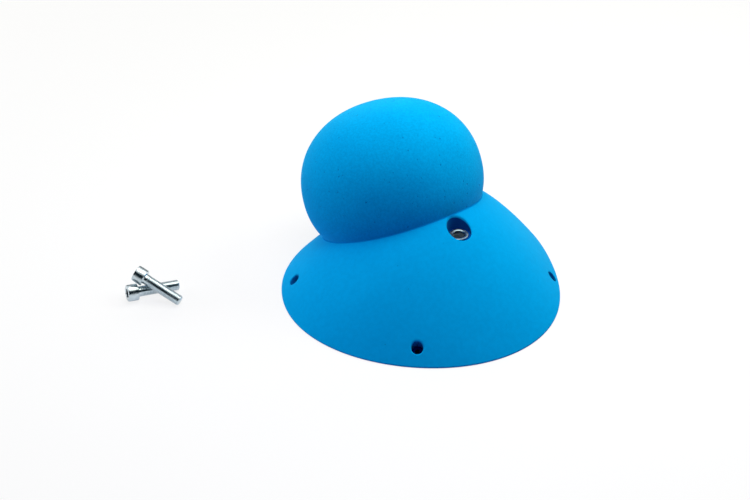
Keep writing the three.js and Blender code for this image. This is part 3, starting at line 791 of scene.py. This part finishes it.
def carve(mesh, cutters):
    # the mesh of a solid with the cutters taken out
    blank = bpy.data.objects.new("blank", mesh)
    scene.collection.objects.link(blank)
    for cutter in cutters:
        cut = blank.modifiers.new("cut", "BOOLEAN")
        cut.operation, cut.solver, cut.object = "DIFFERENCE", "EXACT", cutter
    carved = bpy.data.meshes.new_from_object(blank.evaluated_get(bpy.context.evaluated_depsgraph_get()))
    for thing in [blank] + cutters:
        bpy.data.objects.remove(thing)
    carved.shade_smooth()
    carved.set_sharp_from_angle(angle=np.radians(30))
    return carved


# the cutters reach past the ring at both ends
ringSolid = meshOf("ring", [skin(ringRows(), awayFrom=lookFrom - upright * 14)], outwards=True)
rearFoot = boltHoles["rear"]["centre"] * (1, 1, 0)
aroundSleeve = sleeve["radius"] + seatGap
cutters = [roundCutter(rearFoot, upright, [(-5, aroundSleeve), (25, aroundSleeve)], 96)]
mouth, pilot = screwHoles["mouthRadius"] + seatGap, screwHoles["pilotRadius"] + seatGap
for h in holes[2:]:
    cutters.append(roundCutter(*h["screw"], [(-20, pilot), (-seatGap, pilot), (-seatGap, mouth), (25, mouth)]))
addPiece("ring", carve(ringSolid, cutters), plyFlat, "backing_ring", "plywood")

for name, material in (("lengthwise_rib", plyLengthwise), ("crosswise_rib", plyCrosswise)):
    materials = nodes[name].data.materials
    materials.clear()
    materials.append(material)


bolt = {
    "threadRadius": 5.0, "pitch": 1.5, "threadDepth": 0.55, "threadEnd": 37.5, "fade": 3.0,
    "length": 40.0, "tipChamfer": 1.1, "neck": 4.96,
    "neckEnd": 0.3, "headEnd": 0.6,  # how far under the head the discs lie that close each of them
    "headRadius": 8.0, "headHeight": 9.998, "headChamfer": 0.9, "knurls": 60, "knurlDepth": 0.06,
    "acrossFlats": 8.0, "socketDepth": 6.0, "socketChamfer": 0.45, "around": 96, "headAround": 360,
    "rowsPerTurn": 10,
}
# where the tips lie, and how the bolts are turned and pitched on the ground
laid = {
    "lower": {"tip": (-229.0, -17.3), "turn": 22.5, "pitch": np.degrees(np.arctan2(3.0, 40.0))},
    "upper": {"tip": (-224.9, -42.8), "turn": -23.8, "pitch": 22.7},
    "floorGap": 0.15,
}


def threadRows():
    # the radius falls from crest to root and back once a pitch, later by one pitch for each turn
    # round; the thread starts on the tip's chamfer and fades out under the head
    rows = int(bolt["threadEnd"] / bolt["pitch"] * bolt["rowsPerTurn"])
    z = np.linspace(0, bolt["threadEnd"], rows)[:, None]
    a = (np.arange(bolt["around"]) / bolt["around"])[None, :]
    phase = (z / bolt["pitch"] - a) % 1
    tooth = np.clip((np.abs(phase - 0.5) * 2 - 0.2) / 0.38, 0, 1)  # 1 at the crest's flat, 0 in the root
    fade = np.clip((bolt["threadEnd"] - z) / bolt["fade"], 0, 1)
    crest = bolt["neck"] + (bolt["threadRadius"] - bolt["neck"]) * fade
    radius = crest - bolt["threadDepth"] * (1 - tooth) * fade
    radius = np.minimum(radius, bolt["threadRadius"] - bolt["tipChamfer"] + z)
    return np.stack([radius * np.cos(a * turn), radius * np.sin(a * turn), z + 0 * a], -1)


def turned(profile, steps):
    # rings about the bolt's own line, one for each height and radius, or radius at each angle
    a = np.arange(steps) / steps * turn
    return np.stack([np.column_stack([r * np.cos(a), r * np.sin(a), np.full(steps, z)]) for r, z in profile])


def headRows():
    # from the neck out under the head, up the knurled side, over the chamfer and across the face
    # to a six-sided socket, whose radius at each angle is the apothem over a cosine
    a = np.arange(bolt["headAround"]) / bolt["headAround"] * turn
    z0, z1, r = bolt["length"], bolt["length"] + bolt["headHeight"], bolt["headRadius"]
    sixth = (a % (turn / 6)) - turn / 12
    hexagon = bolt["acrossFlats"] / 2 / np.cos(sixth)
    corner = bolt["acrossFlats"] / 2 / np.cos(np.pi / 6) + bolt["socketChamfer"] * 0.4
    grip = np.abs(np.sin(a * bolt["knurls"] / 2)) ** 0.7  # 1 on a knurl's ridge, 0 between two
    knurled = r - 0.05 - bolt["knurlDepth"] + bolt["knurlDepth"] * grip
    c, floor, mouth = bolt["headChamfer"], z1 - bolt["socketDepth"], z1 - bolt["socketChamfer"]
    below = z0 - bolt["headEnd"]
    return turned([
        (0.0, below), (bolt["neck"], below), (bolt["neck"] + 0.35, z0), (r - 0.5, z0),  # underside
        (r - 0.15, z0 + 0.25), (knurled, z0 + 0.7), (knurled, z1 - c - 0.9),  # eased edge, knurls
        (r - 0.12, z1 - c - 0.3), (r - 0.12, z1 - c),  # plain band above them
        (r - c * 0.35, z1 - c * 0.3), (r - c, z1), (corner, z1),  # rounded chamfer, face
        (np.minimum(hexagon, corner), mouth), (hexagon, mouth - 0.25), (hexagon, floor + 0.1),  # socket
        (hexagon * 0.97, floor), (hexagon * 0.55, floor - 0.15), (0.0, floor - 1.1),  # its drilled floor
    ], bolt["headAround"])


def laidDown(points, lay):
    # stands the bolt's length along the direction in which it lies, tip first
    pitch = np.radians(lay["pitch"])
    lying = turnAbout(2, np.radians(lay["turn"])) @ turnAbout(1, pitch - np.pi / 2)
    tip = np.array([*lay["tip"], laid["floorGap"] + bolt["threadRadius"] * np.cos(pitch)])
    return points @ lying.T + tip


def boltSkins():
    # one bolt, standing on its tip: the thread, the hollow tip, the neck, and the head from below,
    # up its side, over its face and down the socket
    tip = turned([(0.0, 0.35), (1.6, 0.1), (bolt["threadRadius"] - bolt["tipChamfer"], 0.0)], bolt["around"])
    neckTop = bolt["length"] - bolt["neckEnd"]
    neck = turned([(bolt["neck"], bolt["threadEnd"]), (bolt["neck"], neckTop), (0.0, neckTop)], bolt["around"])
    head = headRows()
    inShank, farUp = upright * bolt["length"] / 2, upright * 300
    inHead = upright * (bolt["length"] + bolt["headHeight"] / 2)
    return [skin(rows, awayFrom=inShank) for rows in (threadRows(), tip, neck)] + [
        skin(head[:4], awayFrom=farUp), skin(head[3:11], awayFrom=inHead), skin(head[10:13], towards=farUp),
        skin(head[12:16], towards=inHead + upright * 2), skin(head[15:], towards=farUp)]


for key, node, body in (("lower", "lower_bolt", "bolt_low"), ("upper", "upper_bolt", "bolt_high")):
    parts = boltSkins()
    for part in parts:
        part["points"] = laidDown(part["points"], laid[key])
    addPiece(key + "_bolt_steel", parts, boltZinc, node, "zinc_steel", body, weld=0.002, sharp=32)


studio = {
    # the paper as it is seen and as it throws light back, and how much of its white shows of itself,
    # to the camera and in the metal
    "paper": "#f3f4ff", "paperBounce": "#7c94ca", "floorLift": 0.82, "glossLift": 0.4,
    "floorSize": 14.0, "footprintInset": 1.5, "world": 0.012,
    # place, size, watts and tint of each softbox
    "softboxes": {
        "overhead": ((-0.02, 0.1, 0.75), (0.5, 0.4), 2.2, (1.0, 1.0, 0.84)),
        "front": ((-0.02, -0.25, 0.8), (0.5, 0.4), 2.7, (0.78, 0.81, 1.0)),
        "right": ((0.5, 0.2, 0.65), (0.4, 0.4), 4.4, (1.0, 1.0, 0.82)),
        "left": ((-1.5, 0.3, 0.3), (1.2, 0.5), 13.4, (1.0, 1.0, 0.95)),
        "back": ((0.0, 1.75, 0.7), (4.6, 0.9), 35.0, (1.0, 0.97, 0.69)),
    },
    "softboxAim": (0.0, 0.0, 0.06),
    # cloths that only show in the metal: bearing of the middle, half their spread, from and to
    # what height, all in degrees, and the colour
    "cloths": {"front": (-90.0, 80.0, 10.0, 62.0, "#1a282d"), "behind": (90.0, 85.0, 0.0, 26.0, "#3a4045")},
    "clothDistance": 2.4,
    "photoCamera": {"aim": (-0.04343, 0.0, 0.03299), "distance": 1.66, "elevation": 35.0, "lens": 84.48},
}


def raysOf(tree):
    # 1 for rays of the camera, for those by which metal and glass see, and for both
    light = add(tree, "LightPath", {}).outputs
    mirrored = add(tree, "Math", {0: light["Is Glossy Ray"], 1: light["Is Transmission Ray"]},
                   operation="MAXIMUM")
    seen = add(tree, "Math", {0: light["Is Camera Ray"], 1: mirrored}, operation="MAXIMUM")
    return light["Is Camera Ray"], mirrored, seen


# the floor's sheet has a part of its own under the object, marked raw, that keeps its shadow
square = studio["floorSize"] / 2 / mm * np.array([(-1, -1), (1, -1), (1, 1), (-1, 1)])
footprint = rimCurve(rimAngles, studio["footprintInset"])
floorSkins = []
for outline, openings, raw in ((square, [footprint], 0.0), (footprint, [], 1.0)):
    plan, faces = coverPlan(outline, openings, np.zeros((0, 2)))
    floorSkins.append(faced(atHeight(plan, 0), faces, towards=upright * 1e7, raw=raw))
floorMesh = meshOf("floor", floorSkins)
floor = bpy.data.objects.new("floor", floorMesh)
scene.collection.objects.link(floor)
material, tree, place = newMaterial("white_paper_floor")
direct, mirrored, seen = raysOf(tree)
glossShare = add(tree, "Math", {0: mirrored, 1: studio["glossLift"]}, operation="MULTIPLY")
share = add(tree, "Math", {0: direct, 1: studio["floorLift"], 2: glossShare}, operation="MULTIPLY_ADD")
under = add(tree, "Attribute", {}, attribute_name="raw")
share = add(tree, "Math", {0: share, 1: under.outputs["Fac"]}, operation="SUBTRACT", use_clamp=True)
tone = add(tree, "Mix", {0: seen, 6: linear(studio["paperBounce"]), 7: linear(studio["paper"])},
           data_type="RGBA")
paper = add(tree, "BsdfDiffuse", {"Color": tone.outputs[2]})
white = add(tree, "Emission", {"Color": (1, 1, 1, 1), "Strength": 1.0})
floorMesh.materials.append(finish(material, add(tree, "MixShader", {0: share, 1: paper, 2: white})))

world = bpy.data.worlds.new("studio")
scene.world = world  # white where it is seen, and nearly no light of its own on the object
world.use_nodes = True
tree = world.node_tree
tree.nodes.clear()
seen = raysOf(tree)[2]
strength = add(tree, "MapRange", {"Value": seen, "To Min": studio["world"], "To Max": 1.0})
background = add(tree, "Background", {"Color": (1, 1, 1, 1), "Strength": strength})
add(tree, "OutputWorld", {"Surface": background})

for key, (place, size, watts, tint) in studio["softboxes"].items():
    data = bpy.data.lights.new(key + "_softbox", "AREA")
    data.shape, data.size, data.size_y, data.energy, data.color = "RECTANGLE", *size, watts, tint
    lamp = bpy.data.objects.new(key + "_softbox", data)
    lamp.location = place
    lamp.rotation_euler = (Vector(studio["softboxAim"]) - Vector(place)).to_track_quat("-Z", "Y").to_euler()
    lamp.visible_camera = False
    lamp.visible_glossy = key == "overhead"
    scene.collection.objects.link(lamp)

for key, (bearing, spread, low, high, code) in studio["cloths"].items():
    material, tree, place = newMaterial(key + "_cloth")
    up = np.radians(np.linspace(low, high, 9))[:, None]  # part of a globe round the stage
    across = np.radians(np.linspace(bearing - spread, bearing + spread, 33))[None, :]
    rows = studio["clothDistance"] * np.stack([np.cos(up) * np.cos(across), np.cos(up) * np.sin(across),
                                               np.sin(up) + 0 * across], -1)
    mesh = bpy.data.meshes.new(key + "_cloth")
    mesh.from_pydata(rows.reshape(-1, 3).tolist(), [], gridFaces(9, 33, False).tolist())
    mesh.materials.append(finish(material, add(tree, "Emission", {"Color": linear(code)})))
    cloth = bpy.data.objects.new(key + "_cloth", mesh)
    scene.collection.objects.link(cloth)
    cloth.visible_camera = cloth.visible_diffuse = cloth.visible_shadow = cloth.visible_transmission = False

view = studio["photoCamera"]
elevation = np.radians(view["elevation"])
data = bpy.data.cameras.new("photo_camera")
data.lens, data.sensor_width = view["lens"], 36.0
camera = bpy.data.objects.new("photo_camera", data)
aim = Vector(view["aim"])
camera.location = aim + Vector((0, -np.cos(elevation), np.sin(elevation))) * view["distance"]
camera.rotation_euler = (np.pi / 2 - elevation, 0, 0)
scene.collection.objects.link(camera)
scene.camera = camera
scene.view_settings.view_transform = "Standard"
print("stage, lights and camera set")
